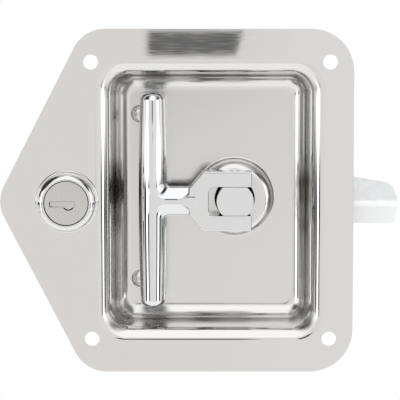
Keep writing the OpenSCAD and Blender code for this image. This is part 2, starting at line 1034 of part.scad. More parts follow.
// Sliding bar: an open head around the plug tail and a nose that blocks the collar

module lock_bar_outline() {
    rest_shift = -bar_travel / 2;
    window_half_x = tail_r + bar_travel / 2 + cam_pin_gap;
    window_half_y = tail_r + cam_pin_gap;
    slot_half = cam_pin_r + cam_pin_gap;
    slot_top = cam_throw + cam_pin_r + cam_pin_gap;
    centre_x = -lock_x + rest_shift;
    difference() {
        union() {
            translate([centre_x, 0])
                rounded_box(head_half_x, head_half_y, 3);
            translate([centre_x, -nose_half])
                square([nose_rest_x - centre_x, 2 * nose_half]);
        }
        translate([centre_x - window_half_x, -window_half_y])
            square([2 * window_half_x, 2 * window_half_y]);
        translate([centre_x - slot_half, 0])
            square([2 * slot_half, slot_top]);
    }
}

module lock_bar() {
    color([0.73, 0.74, 0.77])
        slab(bar_back_z, bar_front_z)
            lock_bar_outline();
}

stand() mounting_pan();
stand() spindle_bush();
stand() guide_strap();
stand() strap_rivets();
stand() lock_housing();
stand() retaining_clip();
stand() spindle();
stand() spindle_seal();
stand() thrust_washer();
stand() lock_collar();
stand() latch_tongue();
stand() spring_washer();
stand() spindle_nut();
stand() t_handle();
stand() pivot_pin();
stand() key_plug();
stand() wafers();
stand() lock_cam();
stand() cam_screw();
stand() plug_cap();
stand() dust_shutter();
stand() shutter_pin();
stand() lock_bar();
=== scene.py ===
"""Looks of a flush folding T-handle lock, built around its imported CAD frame.

The front faces -Y, X runs towards the tongue and Z is up. The sizes in this file are in millimetres,
and a mesh is turned into metres when its piece is made.
"""
import math

import bmesh
import bpy
import numpy as np
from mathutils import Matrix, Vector


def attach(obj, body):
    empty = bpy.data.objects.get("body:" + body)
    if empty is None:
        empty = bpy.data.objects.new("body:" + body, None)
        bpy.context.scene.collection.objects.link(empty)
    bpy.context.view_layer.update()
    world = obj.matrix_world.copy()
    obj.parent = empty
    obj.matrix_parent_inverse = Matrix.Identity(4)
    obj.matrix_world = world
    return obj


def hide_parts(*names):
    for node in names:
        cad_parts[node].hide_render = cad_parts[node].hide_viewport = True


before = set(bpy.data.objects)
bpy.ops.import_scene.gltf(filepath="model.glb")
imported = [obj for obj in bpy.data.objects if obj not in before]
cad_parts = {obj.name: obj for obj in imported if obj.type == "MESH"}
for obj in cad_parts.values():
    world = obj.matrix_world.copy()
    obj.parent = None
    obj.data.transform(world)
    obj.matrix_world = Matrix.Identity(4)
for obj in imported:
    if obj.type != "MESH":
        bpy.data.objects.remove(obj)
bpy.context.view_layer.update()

MM = 0.001
DEGREE = math.radians(1)


# Sizes of the pressed pan

SHEET = 1.5
FACE_Y = -SHEET
FLOOR_Y = 16.5
PLATE_HALF_H = 60.325
PLATE_RIGHT = 50.0
SLOPE_START = 44.1
SLOPE_ANGLE = 27.25
TIP_X = SLOPE_START + PLATE_HALF_H * math.tan(math.radians(SLOPE_ANGLE))
OUTLINE = [
    (PLATE_RIGHT, PLATE_HALF_H),
    (-SLOPE_START, PLATE_HALF_H),
    (-TIP_X, 0.0),
    (-SLOPE_START, -PLATE_HALF_H),
    (PLATE_RIGHT, -PLATE_HALF_H),
]
OUTLINE_RADII = [15.0, 12.3, 12.0, 12.3, 15.0]
HOLE_PITCH = (83.5, 97.5)
HOLE_PLACES = [(sx * HOLE_PITCH[0] / 2, sz * HOLE_PITCH[1] / 2) for sx in (-1, 1) for sz in (-1, 1)]
HOLE_R = 2.65
LOCK_HOLE_R = 9.5
LOCK_HOLE_FLAT = 1.2
DISH_HALF = (39.6, 49.3)
LIP_CORNER_R = 9.2
FLOOR_CORNER_R = 3.2
LIP_R = 4.7
FLOOR_R = 5.3
DRAFT = 6.5
BOSS_FOOT = 14.5
BOSS_TOP_Y = 8.5
BOSS_TOP_R = 3.2
BOSS_FOOT_R = 0.8
BOSS_DRAFT = 3.5
BOSS_HOLE_R = 7.1
PAN_EDGE = 0.22
# Flat border along each edge of the sheet, and the share of it that takes the turn of the edge's shading
BORDER = 0.6
GUARD = 0.15

# Sizes of the floor rivets

RIVET_PLACES = [(-25.2, -29.7), (-25.2, 29.7)]
RIVET_SHANK_R = 1.6
RIVET_PLAY = 0.05
RIVET_HEAD_R = 3.15
RIVET_HEAD_H = 1.5
RIVET_TAIL_R = 2.6
RIVET_TAIL_ROUND = 0.4
RIVET_TAIL_FOOT_Y = 19.5
RIVET_TAIL_Y = 20.7

# Sizes of the handle, measured from the spindle axis: x along the neck, y up, z out to the user

SPINDLE_X = 8.6
GRIP_REACH = 28.9
GRIP_HALF = 38.0
GRIP_MID_R = 5.05
GRIP_END_R = 4.4
GRIP_TIP_R = 2.8
FACE_Z = 1.5
PIN_Z = -2.4
PIN_HOLE_R = 2.03
LEG_REACH = 5.9
RUN_GAP = 0.1
FORK_FOOT_Z = PIN_Z - LEG_REACH
FORK_HALF_W = 10.55
FORK_SHOULDER_X = -11.1
FORK_ROOT_X = -15.9
HOLLOW_X = -19.7
HOLLOW_R = 4.3
HOLLOW_END = -32
SLOT_HALF_W = 5.1
SLOT_REACH = 9.3
NECK_HALF_W = 4.7
NECK_ROUND = 0.25
NECK_STOP = 14.0
NECK_FOOT_Z = FORK_FOOT_Z + 0.9
CREST_HALF_W = 0.9
CROWN_R = 9.0
SHOULDER_Z = FACE_Z - 2.25

# Cast blends and broken edges of the handle

GRIP_BLEND = 1.7
FORK_BLEND = 0.6
FORK_EDGE = 0.5
NECK_EDGE = 0.3
FACE_EDGE = 0.12
SLOT_CORNER = 2.0
SLOT_EDGE = 0.3
PIN_EDGE = 0.2

# Sizes of the key lock

LOCK_X = -50.25
PLUG_R = 7.8
PLUG_PLAY = 0.05
PLUG_FACE_Y = -7.1
CAP_R = PLUG_R - 0.2
CAP_T = 0.7
CAP_EDGE = 0.14
BEZEL_R = 11.1
BEZEL_NECK_R = 10.2
BEZEL_CREST_R = 2.2
BEZEL_TOP_Y = -7.5
BEZEL_FOOT_R = 0.5
BEZEL_COVE_R = 0.15
CORE_R = 9.4
CORE_FLAT = 8.2
CORE_BACK_Y = 17.6
CORE_CHAMFER = 0.4
CORE_BORE_R = 6.35
HEAD_FLOOR_Y = -4.55
CLIP_SLOT = (0.01, 1.25)
CLIP_SLOT_HALF = 7.6
# Thin step that stands for a square corner in a turned section
NICK = 0.01
KEYWAY = {"left": -5.8, "right": 3.1, "foot": -1.36, "top": 0.6, "scoop_r": 2.0}
SCOOP_X, SCOOP_Z = 0.8, -0.55
# The shutter's pad, drawn in from the keyway
PAD_INSET = {"left": 0.25, "right": -0.12, "foot": 0.26, "top": -0.08, "scoop_r": -0.38}
PAD_FACE_Y = PLUG_FACE_Y + 0.1
PAD_BACK_Y = -6.1
PAD_EDGE = 0.08

# Angle from which an edge counts as sharp, where it is bevelled and where it is only shaded so

BEVEL_ANGLE = 35
SHARP_ANGLE = 38


# Colour and material helpers

def colour(hex_code):
    """An sRGB hex colour as linear RGBA."""
    parts = [int(hex_code[i:i + 2], 16) / 255 for i in (1, 3, 5)]
    linear = [c / 12.92 if c <= 0.04045 else ((c + 0.055) / 1.055) ** 2.4 for c in parts]
    return (*linear, 1.0)


def add(tree, kind, settings=None, links=None):
    """Adds one node, sets its attributes or input values, and links its inputs."""
    node = tree.nodes.new(kind)
    for key, value in (settings or {}).items():
        if isinstance(key, str) and hasattr(node, key):
            setattr(node, key, value)
        else:
            node.inputs[key].default_value = value
    for key, source in (links or {}).items():
        tree.links.new(source, node.inputs[key])
    return node


def mask(tree, unit, ramps):
    """The product of soft ramps, each a value, the span in which it changes and the share at both ends."""
    whole = None
    for value, (near, far), (first, last) in ramps:
        share = add(
            tree,
            "ShaderNodeMapRange",
            {
                "interpolation_type": "SMOOTHSTEP",
                "From Min": near * unit,
                "From Max": far * unit,
                "To Min": first,
                "To Max": last,
            },
            {"Value": value},
        ).outputs["Result"]
        if whole:
            product = add(tree, "ShaderNodeMath", {"operation": "MULTIPLY"}, {0: whole, 1: share})
            share = product.outputs["Value"]
        whole = share
    return whole


def metal(name, base, roughness, spread, grain_mm, grain=(1.0, 1.0, 1.0), bump_mm=0.0):
    """A metal whose polish varies along a fine grain."""
    material = bpy.data.materials.new(name)
    material.use_nodes = True
    tree = material.node_tree
    shader = tree.nodes["Principled BSDF"]
    shader.inputs["Metallic"].default_value = 1.0
    shader.inputs["Base Color"].default_value = colour(base)
    place = add(tree, "ShaderNodeTexCoord").outputs["Object"]
    scale = [stretch / (grain_mm * MM) for stretch in grain]
    stretched = add(tree, "ShaderNodeMapping", {"Scale": scale}, {"Vector": place}).outputs["Vector"]
    noise = add(tree, "ShaderNodeTexNoise", {"Scale": 1.0, "Detail": 3.0}, {"Vector": stretched})
    grit = noise.outputs["Fac"]
    polish = add(
        tree,
        "ShaderNodeMapRange",
        {"From Min": 0.3, "From Max": 0.7, "To Min": roughness - spread, "To Max": roughness + spread},
        {"Value": grit},
    )
    tree.links.new(polish.outputs["Result"], shader.inputs["Roughness"])
    if bump_mm:
        relief = add(tree, "ShaderNodeBump", {"Strength": 1.0, "Distance": bump_mm * MM}, {"Height": grit})
        tree.links.new(relief.outputs["Normal"], shader.inputs["Normal"])
    return material


# Finish of the drawn sheet. Each span says where it changes: by depth over the lip, the mouth and the wall,
# towards the corners by width and height, and for the painted dark reflection on the side walls by width,
# height and depth.
SHEET_TINT = "#d5d4d3"
# Colour of the painted dark reflection of the boss and fork, laid on the dish's side walls
PAINTED_REFLECTION_TINT = "#989692"
LIP_ROUGHNESS = 0.09
WALL_ROUGHNESS = 0.09
CORNER_ROUGHNESS = 0.24
LIP_SPAN = (FACE_Y + 0.01, FACE_Y + 0.3)
MOUTH_SPAN = (FACE_Y + 0.02, FACE_Y + 0.5)
WALL_SPAN = (0.0, 9.0)
CORNER_SPANS = ((28.0, 36.0), (35.0, 43.0))
# Where the painted dark reflection lies: by width, by height (strongest at mid height) and by depth
PAINTED_REFLECTION_SPANS = ((31.2, 32.4), (8.0, 17.0), (3.0, 7.0))


def drawn_stainless():
    """Bright rolled sheet: the flange is a mirror with a faint grain, and the drawn dish is softer.

    The dish is softest in its corners, and its side walls carry a painted dark reflection of the boss and
    fork at mid height.
    """
    material = metal("drawn_stainless", SHEET_TINT, 0.027, spread=0.018, grain_mm=0.5, grain=(0.06, 1, 1))
    tree = material.node_tree
    shader = tree.nodes["Principled BSDF"]
    grain = shader.inputs["Roughness"].links[0].from_socket
    place = add(tree, "ShaderNodeTexCoord").outputs["Object"]
    parts = add(tree, "ShaderNodeSeparateXYZ", None, {"Vector": place})
    depth = parts.outputs["Y"]
    width, height = (
        add(tree, "ShaderNodeMath", {"operation": "ABSOLUTE"}, {0: parts.outputs[axis]}).outputs["Value"]
        for axis in "XZ"
    )
    polish = add(
        tree,
        "ShaderNodeMapRange",
        {"From Min": LIP_SPAN[0] * MM, "From Max": LIP_SPAN[1] * MM, "To Max": LIP_ROUGHNESS},
        {"Value": depth, "To Min": grain},
    ).outputs["Result"]
    wall = [(depth, WALL_SPAN, (0.0, WALL_ROUGHNESS))]
    corners = [
        (width, CORNER_SPANS[0], (0.0, 1.0)),
        (height, CORNER_SPANS[1], (0.0, 1.0)),
        (depth, MOUTH_SPAN, (0.0, CORNER_ROUGHNESS)),
    ]
    for ramps in (wall, corners):
        softer = mask(tree, MM, ramps)
        polish = add(tree, "ShaderNodeMath", {"operation": "ADD"}, {0: polish, 1: softer}).outputs["Value"]
    tree.links.new(polish, shader.inputs["Roughness"])
    # Painted dark reflection on the side walls, strongest at mid height deep in the dish
    reflection_ramps = [
        (width, PAINTED_REFLECTION_SPANS[0], (0.0, 1.0)),
        (height, PAINTED_REFLECTION_SPANS[1], (1.0, 0.0)),
        (depth, PAINTED_REFLECTION_SPANS[2], (0.0, 1.0)),
    ]
    tints = {"data_type": "RGBA", 6: colour(SHEET_TINT), 7: colour(PAINTED_REFLECTION_TINT)}
    tint = add(tree, "ShaderNodeMix", tints, {0: mask(tree, MM, reflection_ramps)})
    tree.links.new(tint.outputs[2], shader.inputs["Base Color"])
    return material


# Drawn stainless sheet, the largest bright surface of the lock
STAINLESS = drawn_stainless()
# Polished chrome plate on a die casting: a clear mirror with a cool tint
CHROME = metal("polished_chrome", "#d7d8d9", 0.035, spread=0.01, grain_mm=2.0)
# Chrome plate on the lock body, a little less polished than the handle
DULL_CHROME = metal("bright_chrome", "#d6d6d6", 0.07, spread=0.015, grain_mm=1.0)
# Brushed stainless cap: fine straight scratches across the face
BRUSHED = metal(
    "brushed_stainless", "#c8c7c6", 0.2, spread=0.05, grain_mm=0.16, grain=(0.06, 1, 1), bump_mm=0.0004
)
# Bright zinc plate: pale, blue-white and slightly cloudy
ZINC = metal("bright_zinc", "#eff2f2", 0.42, spread=0.05, grain_mm=1.6)
# Plain bright steel, turned or cold headed: a soft mirror
BRIGHT_STEEL = metal("bright_steel", "#c9c8c6", 0.12, spread=0.04, grain_mm=0.5)
# Spring steel: darker from hardening
SPRING_STEEL = metal("spring_steel", "#8f8f92", 0.32, spread=0.06, grain_mm=0.6, bump_mm=0.001)
# Oiled sintered bronze: dull and porous
BRONZE = metal("sintered_bronze", "#4d4032", 0.5, spread=0.1, grain_mm=0.3, bump_mm=0.004)


def lock_brass():
    """Machined brass, darkened by painted shade towards the key face, where the plug head sits in the gap
    inside the bezel.
    """
    # Near-black painted shade towards the key face, for the shade in the gap between the plug head and the
    # bezel
    brass, painted_shade = "#d3b26b", "#1d1b19"
    black_y, lit_y = -4.0, 6.0
    material = metal(
        "machined_brass", brass, 0.3, spread=0.06, grain_mm=0.3, grain=(1, 0.2, 1), bump_mm=0.001
    )
    tree = material.node_tree
    place = add(tree, "ShaderNodeTexCoord").outputs["Object"]
    depth = add(tree, "ShaderNodeSeparateXYZ", None, {"Vector": place}).outputs["Y"]
    lit = add(
        tree, "ShaderNodeMapRange", {"From Min": black_y * MM, "From Max": lit_y * MM}, {"Value": depth}
    ).outputs["Result"]
    tints = {"data_type": "RGBA", 6: colour(painted_shade), 7: colour(brass)}
    tint = add(tree, "ShaderNodeMix", tints, {0: lit})
    tree.links.new(tint.outputs[2], tree.nodes["Principled BSDF"].inputs["Base Color"])
    return material


# Brass of the key plug and its wafers: yellow, and darkened by painted shade near the keyway
BRASS = lock_brass()


def moulded(name, base, roughness, grain_mm):
    """A moulded polymer with a faint grain."""
    material = metal(name, base, roughness, spread=0.08, grain_mm=grain_mm, bump_mm=0.004)
    material.node_tree.nodes["Principled BSDF"].inputs["Metallic"].default_value = 0.0
    return material


# Moulded nitrile rubber, matt and black, and natural nylon, waxy and cream
RUBBER = moulded("nitrile_rubber", "#17171a", 0.6, 0.4)
NYLON = moulded("natural_nylon", "#e4dfcd", 0.45, 0.5)


# Mesh helpers

def piece(name, mesh, material, body, nodes=()):
    """Puts a finished mesh in the scene as one piece that rides on a body."""
    if not mesh.materials:
        mesh.materials.append(material)
    obj = bpy.data.objects.new(name, mesh)
    bpy.context.scene.collection.objects.link(obj)
    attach(obj, body)
    if nodes:
        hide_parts(*nodes)
    return obj


def mesh_from(bm, name, smooth=True):
    """A mesh in metres from a bmesh drawn in millimetres."""
    bmesh.ops.scale(bm, vec=(MM, MM, MM), verts=bm.verts)
    mesh = bpy.data.meshes.new(name)
    bm.to_mesh(mesh)
    bm.free()
    mesh.polygons.foreach_set("use_smooth", [smooth] * len(mesh.polygons))
    return mesh


def shaped(mesh, modifiers):
    """The mesh after a list of modifiers, each a kind with its settings."""
    obj = bpy.data.objects.new("work", mesh)
    bpy.context.scene.collection.objects.link(obj)
    for kind, settings in modifiers:
        modifier = obj.modifiers.new(kind.lower(), kind)
        for key, value in settings.items():
            setattr(modifier, key, value)
    evaluated = obj.evaluated_get(bpy.context.evaluated_depsgraph_get())
    result = bpy.data.meshes.new_from_object(evaluated)
    bpy.data.objects.remove(obj)
    return result


def broken_edges(width, segments=3):
    """Settings that break every sharp edge and keep the flats flat."""
    return [
        ("BEVEL", {
            "width": width * MM,
            "segments": segments,
            "limit_method": "ANGLE",
            "angle_limit": math.radians(BEVEL_ANGLE),
            "miter_outer": "MITER_ARC",
        }),
        ("WEIGHTED_NORMAL", {"keep_sharp": True, "weight": 100}),
    ]


def arc(centre, r, start, stop, steps):
    """Points of an arc, both ends included, between two angles in degrees."""
    turns = np.radians(np.linspace(start, stop, steps + 1))
    return [(centre[0] + r * math.cos(t), centre[1] + r * math.sin(t)) for t in turns]


def circle_points(x, z, r, steps):
    return arc((x, z), r, 0, 360 - 360 / steps, steps - 1)


def rounded(points, radii, inset, steps=20):
    """A straight-sided outline with an arc at each corner, drawn in by an inset."""
    outline = []
    count = len(points)
    for i, r in enumerate(radii):
        corner = Vector(points[i])
        before = (Vector(points[i - 1]) - corner).normalized()
        after = (Vector(points[(i + 1) % count]) - corner).normalized()
        half = before.angle(after) / 2
        centre = corner + (before + after).normalized() * r / math.sin(half)
        first = corner + before * r / math.tan(half) - centre
        last = corner + after * r / math.tan(half) - centre
        start = math.degrees(math.atan2(first.y, first.x))
        stop = math.degrees(math.atan2(last.y, last.x))
        outline += arc(centre, r - inset, start, stop + 360 * (stop < start), steps)
    return outline


def ring(bm, points, depth):
    """A closed ring of vertices from (x, z) points at one depth."""
    return [bm.verts.new((x, depth, z)) for x, z in points]


def bridge(bm, *rings):
    """Quads from each closed ring to the next, all of the same length."""
    for first, second in zip(rings, rings[1:]):
        count = len(first)
        for i in range(count):
            j = (i + 1) % count
            bm.faces.new((first[i], first[j], second[j], second[i]))


def rim_edges(bm, verts):
    """The edges of a closed ring, made where they are missing."""
    pairs = zip(verts, verts[1:] + verts[:1])
    return [bm.edges.get(pair) or bm.edges.new(pair) for pair in pairs]


def fill(bm, *rings):
    """A flat face between an outer ring and the rings inside it."""
    edges = [edge for verts in rings for edge in rim_edges(bm, verts)]
    bmesh.ops.triangle_fill(bm, use_beauty=True, use_dissolve=False, edges=edges)


# Pressed pan: flange, rolled lip, dish and boss drawn from one sheet

def dish_ring(bm, inset, depth, share, steps=14):
    """One turn around the dish, drawn in from its mouth; its share of the draw sets the corner radius."""
    r = LIP_CORNER_R + (FLOOR_CORNER_R - LIP_CORNER_R) * share
    points = []
    for quarter, (sx, sz) in enumerate([(1, 1), (-1, 1), (-1, -1), (1, -1)]):
        centre = (sx * (DISH_HALF[0] - inset - r), sz * (DISH_HALF[1] - inset - r))
        points += arc(centre, r, 90 * quarter, 90 * quarter + 90, steps)
    return ring(bm, points, depth)


def edged(bm, outer, inner, depth):
    """A narrow flat border that keeps the fill beside it and all but its own edge shading flat.

    Its first ring takes the fill.
    """
    guard = [Vector(edge).lerp(Vector(far), GUARD) for edge, far in zip(inner, outer)]
    rings = [ring(bm, points, depth) for points in (outer, guard, inner)]
    bridge(bm, *rings)
    return rings[0]


def round_hole(bm, place, r, depth, steps):
    outer, inner = (circle_points(*place, hole_r, steps) for hole_r in (r + BORDER, r))
    return edged(bm, outer, inner, depth)


def lock_hole(r):
    """Double-D hole that keeps the lock from turning."""
    half = r - LOCK_HOLE_FLAT
    return [(x, max(-half, min(half, z))) for x, z in circle_points(LOCK_X, 0, r, 64)]


def dish_section():
    """Lip, drafted wall and floor radius of the dish as (inset, depth) points, and the inset at the floor."""
    lip = [(-x, y) for x, y in arc((0.0, FACE_Y + LIP_R), LIP_R, 270, 180 + DRAFT, steps=24)]
    foot = [(-x, y) for x, y in arc((0.0, FLOOR_Y - FLOOR_R), FLOOR_R, DRAFT, 90, steps=24)]
    slope = math.tan(math.radians(DRAFT))
    draw = lip[-1][0] + (foot[0][1] - lip[-1][1]) * slope - foot[0][0]
    foot = [(inset + draw, depth) for inset, depth in foot]
    return [(-BORDER, FACE_Y), *lip, *foot, (draw + BORDER, FLOOR_Y)], draw


def boss_section():
    """Foot, drafted side and crown of the boss as (radius, depth) points."""
    foot = arc((BOSS_FOOT, FLOOR_Y - BOSS_FOOT_R), BOSS_FOOT_R, 90, 180 - BOSS_DRAFT, steps=10)
    crown = arc((0.0, BOSS_TOP_Y + BOSS_TOP_R), BOSS_TOP_R, -BOSS_DRAFT, -90, steps=16)
    slope = math.tan(math.radians(BOSS_DRAFT))
    side = foot[-1][0] - (foot[-1][1] - crown[0][1]) * slope - crown[0][0]
    crown = [(r + side, depth) for r, depth in crown]
    return [(BOSS_FOOT + BORDER, FLOOR_Y), *foot, *crown, (BOSS_HOLE_R, BOSS_TOP_Y)]


def pan_mesh():
    bm = bmesh.new()
    section, draw = dish_section()
    dish = [dish_ring(bm, inset, depth, min(max(inset / draw, 0), 1)) for inset, depth in section]
    bridge(bm, *dish)
    holes = [round_hole(bm, place, HOLE_R, FACE_Y, steps=48) for place in HOLE_PLACES]
    holes.append(edged(bm, lock_hole(LOCK_HOLE_R + BORDER), lock_hole(LOCK_HOLE_R), FACE_Y))
    inner, outer = (rounded(OUTLINE, OUTLINE_RADII, inset) for inset in (BORDER, 0.0))
    fill(bm, edged(bm, inner, outer, FACE_Y), dish[0], *holes)
    boss = [ring(bm, circle_points(SPINDLE_X, 0, r, 120), depth) for r, depth in boss_section()]
    bridge(bm, *boss)
    rivet_holes = [
        round_hole(bm, place, RIVET_SHANK_R + RIVET_PLAY, FLOOR_Y, steps=24) for place in RIVET_PLACES
    ]
    fill(bm, dish[-1], boss[0], *rivet_holes)
    bmesh.ops.recalc_face_normals(bm, faces=bm.faces)
    flange = max(bm.faces, key=lambda face: face.calc_center_median().x)
    if flange.normal.y > 0:
        bmesh.ops.reverse_faces(bm, faces=bm.faces)
    thicken = ("SOLIDIFY", {"thickness": SHEET * MM, "offset": -1.0, "use_even_offset": True})
    return shaped(mesh_from(bm, "pan"), [thicken, *broken_edges(PAN_EDGE)])


piece("pressed_pan", pan_mesh(), STAINLESS, "body", ["mounting_pan"])


# Folding handle: a skin drawn over a field of distances, with cast blends where its forms meet

def smooth_min(a, b, k):
    """The nearer of two distances, blended where they differ by less than k."""
    h = np.maximum(k - np.abs(a - b), 0) / k
    return np.minimum(a, b) - h * h * k / 4


def smooth_max(a, b, k):
    return -smooth_min(-a, -b, k)


def outline_distance(x, y, points):
    """Distance to a closed outline, negative inside it."""
    x, y = np.broadcast_arrays(x, y)
    nearest = np.full(x.shape, np.inf)
    inside = np.zeros(x.shape, bool)
    for (ax, ay), (bx, by) in zip(points, points[1:] + points[:1]):
        ex, ey = bx - ax, by - ay
        t = np.clip(((x - ax) * ex + (y - ay) * ey) / (ex * ex + ey * ey), 0, 1)
        nearest = np.minimum(nearest, (x - ax - ex * t) ** 2 + (y - ay - ey * t) ** 2)
        if ay != by:
            inside ^= ((ay > y) != (by > y)) & (x < ax + ex * (y - ay) / ey)
    return np.where(inside, -1, 1) * np.sqrt(nearest)


def fork_outline():
    """Plan of the fork, drawn in to the crest of the neck by two hollow curves.

    It runs past the leg ends, which are trimmed round later.
    """
    past_legs = LEG_REACH + 1
    upper = arc((HOLLOW_X, CREST_HALF_W + HOLLOW_R), HOLLOW_R, -90, HOLLOW_END, steps=10)
    upper += [(FORK_ROOT_X, NECK_HALF_W), (FORK_SHOULDER_X, FORK_HALF_W), (past_legs, FORK_HALF_W)]
    return [(x, -y) for x, y in reversed(upper)] + upper


def neck_section():
    """Section of the neck, from its flat foot to its crest, before its corners are rounded."""
    half_w = NECK_HALF_W - NECK_ROUND
    half = [(half_w, NECK_FOOT_Z), (half_w, SHOULDER_Z), (CREST_HALF_W, FACE_Z - NECK_ROUND)]
    return [(-y, z) for y, z in reversed(half)] + half


FORK_OUTLINE = fork_outline()
NECK_SECTION = neck_section()


def grip_distance(x, y, z):
    """Round grip bar, thickest in the middle, with blunt rounded ends."""
    bow = GRIP_MID_R - (GRIP_MID_R - GRIP_END_R) * (y / (GRIP_HALF - GRIP_TIP_R)) ** 2
    across = np.hypot(x + GRIP_REACH, z - FACE_Z + GRIP_MID_R) - bow + GRIP_TIP_R
    along = np.abs(y) - GRIP_HALF + GRIP_TIP_R
    outer = np.hypot(np.maximum(across, 0), np.maximum(along, 0))
    return np.minimum(np.maximum(across, along), 0) + outer - GRIP_TIP_R


def handle_distance(x, y, z):
    """Grip, crowned neck and fork in one casting, with the spindle slot and the pin hole cut out."""
    grip = grip_distance(x, y, z)
    crown = z - FACE_Z + y * y / (2 * CROWN_R)
    neck = np.maximum(outline_distance(y, z, NECK_SECTION) - NECK_ROUND, crown)
    neck = smooth_max(neck, np.maximum(-GRIP_REACH - x, x + NECK_STOP), NECK_EDGE)
    foot = FORK_FOOT_Z + RUN_GAP - z
    fork = smooth_max(outline_distance(x, y, FORK_OUTLINE), np.maximum(foot, z - FACE_Z), FORK_EDGE)
    leg_x, leg_z = np.broadcast_arrays(x, PIN_Z - z)
    leg_end = np.hypot(np.maximum(leg_x, 0), np.maximum(leg_z, 0)) + np.minimum(np.maximum(leg_x, leg_z), 0)
    fork = smooth_max(fork, leg_end - LEG_REACH + RUN_GAP, FORK_EDGE)
    body = smooth_min(grip, neck, GRIP_BLEND)
    body = smooth_min(body, fork, FORK_BLEND)
    body = smooth_max(body, z - FACE_Z, FACE_EDGE)
    slot = smooth_max(np.abs(y) - SLOT_HALF_W, -SLOT_REACH - x, SLOT_CORNER)
    body = smooth_max(body, -slot, SLOT_EDGE)
    return smooth_max(body, PIN_HOLE_R - np.hypot(x, z - PIN_Z), PIN_EDGE)


def settled(points, distance, step):
    """Points pulled onto the surface where a distance field is zero, with their normals."""
    reach, pulls, flattest = 0.03, 3, 0.2
    shifts = reach * np.eye(3)
    for _ in range(pulls):
        here = distance(*points.T)
        rises = [distance(*(points + shift).T) - distance(*(points - shift).T) for shift in shifts]
        slope = np.stack(rises, 1) / (2 * reach)
        steep = np.maximum((slope ** 2).sum(1), flattest)
        points = points - np.clip(here / steep, -step, step)[:, None] * slope
    return points, slope / np.linalg.norm(slope, axis=1)[:, None]


def skin(distance, low, high, step):
    """Vertices, quads and normals of the surface where a distance field is zero."""
    axes = [np.arange(a, b + step, step) for a, b in zip(low, high)]
    grid = np.meshgrid(*axes, indexing="ij", sparse=True)
    field = distance(*grid)
    cells = tuple(n - 1 for n in field.shape)
    total = np.zeros((*cells, 3))
    count = np.zeros(cells)
    corner = [np.array([(i >> k) & 1 for k in range(3)]) for i in range(8)]
    view = [field[tuple(slice(c, c + n) for c, n in zip(p, cells))] for p in corner]
    for i in range(8):
        for k in range(3):
            j = i | (1 << k)
            if j == i:
                continue
            a, b = view[i], view[j]
            crossed = (a < 0) != (b < 0)
            share = np.where(crossed, a / np.where(crossed, a - b, 1), 0)
            for m in range(3):
                total[..., m] += crossed * (corner[i][m] + (share if m == k else 0))
            count += crossed
    used = count > 0
    index = np.full(cells, -1)
    index[used] = np.arange(used.sum())
    base = np.stack([axes[m][n] for m, n in enumerate(np.nonzero(used))], 1)
    points = base + step * total[used] / count[used][:, None]
    quads = []
    for k in range(3):
        u, v = (k + 1) % 3, (k + 2) % 3
        inner = [slice(1, n - 1) for n in field.shape]
        inner[k] = slice(0, cells[k])
        near = field[tuple(inner)] < 0
        inner[k] = slice(1, cells[k] + 1)
        far = field[tuple(inner)] < 0
        spots = np.array(np.nonzero(near != far)).T
        outwards = near[near != far]
        spots[:, u] += 1
        spots[:, v] += 1
        corners = []
        for du, dv in ((1, 1), (0, 1), (0, 0), (1, 0)):
            cell = spots.copy()
            cell[:, u] -= du
            cell[:, v] -= dv
            corners.append(index[tuple(cell.T)])
        faces = np.stack(corners, 1)
        faces[~outwards] = faces[~outwards][:, ::-1]
        quads.append(faces)
    points, normals = settled(points, distance, step)
    return points, np.concatenate(quads), normals


def handle_mesh():
    margin, step = 0.5, 0.23
    low = (-GRIP_REACH - GRIP_MID_R - margin, -GRIP_HALF - margin, FORK_FOOT_Z - margin)
    high = (LEG_REACH + margin, GRIP_HALF + margin, FACE_Z + margin)
    points, quads, normals = skin(handle_distance, low, high, step)
    verts = np.stack([points[:, 0] + SPINDLE_X, -points[:, 2], points[:, 1]], 1) * MM
    mesh = bpy.data.meshes.new("folding_handle")
    mesh.from_pydata(verts.tolist(), [], quads.tolist())
    mesh.polygons.foreach_set("use_smooth", [True] * len(mesh.polygons))
    mesh.update()
    facing = np.stack([normals[:, 0], -normals[:, 2], normals[:, 1]], 1)
    mesh.normals_split_custom_set_from_vertices(facing.tolist())
    return mesh


piece("folding_handle", handle_mesh(), CHROME, "handle", ["t_handle"])


# Turned pieces: a section of (radius, depth) points swept around an axis parallel to Y

def turned(name, section, x, closed, steps=128, cut=None):
    """A turned mesh. A cut function may trim each point, as flats and slots do."""
    bm = bmesh.new()
    rings = []
    for r, depth in section:
        points = circle_points(0, 0, r, steps)
        if cut:
            points = [cut(px, pz, depth) for px, pz in points]
        rings.append(ring(bm, [(px + x, pz) for px, pz in points], depth))
    bridge(bm, *rings)
    if closed:
        bridge(bm, rings[-1], rings[0])
    else:
        bm.faces.new(rings[0])
        bm.faces.new(rings[-1])
    bmesh.ops.recalc_face_normals(bm, faces=bm.faces)
    mesh = mesh_from(bm, name)
    mesh.set_sharp_from_angle(angle=math.radians(SHARP_ANGLE))
    return mesh


def housing_cut(px, pz, depth):
    """Flats on the lock body and the two slots that take its clip."""
    if depth > FACE_Y:
        pz = max(-CORE_FLAT, min(CORE_FLAT, pz))
        if CLIP_SLOT[0] < depth < CLIP_SLOT[1]:
            px = max(-CLIP_SLOT_HALF, min(CLIP_SLOT_HALF, px))
    return px, pz


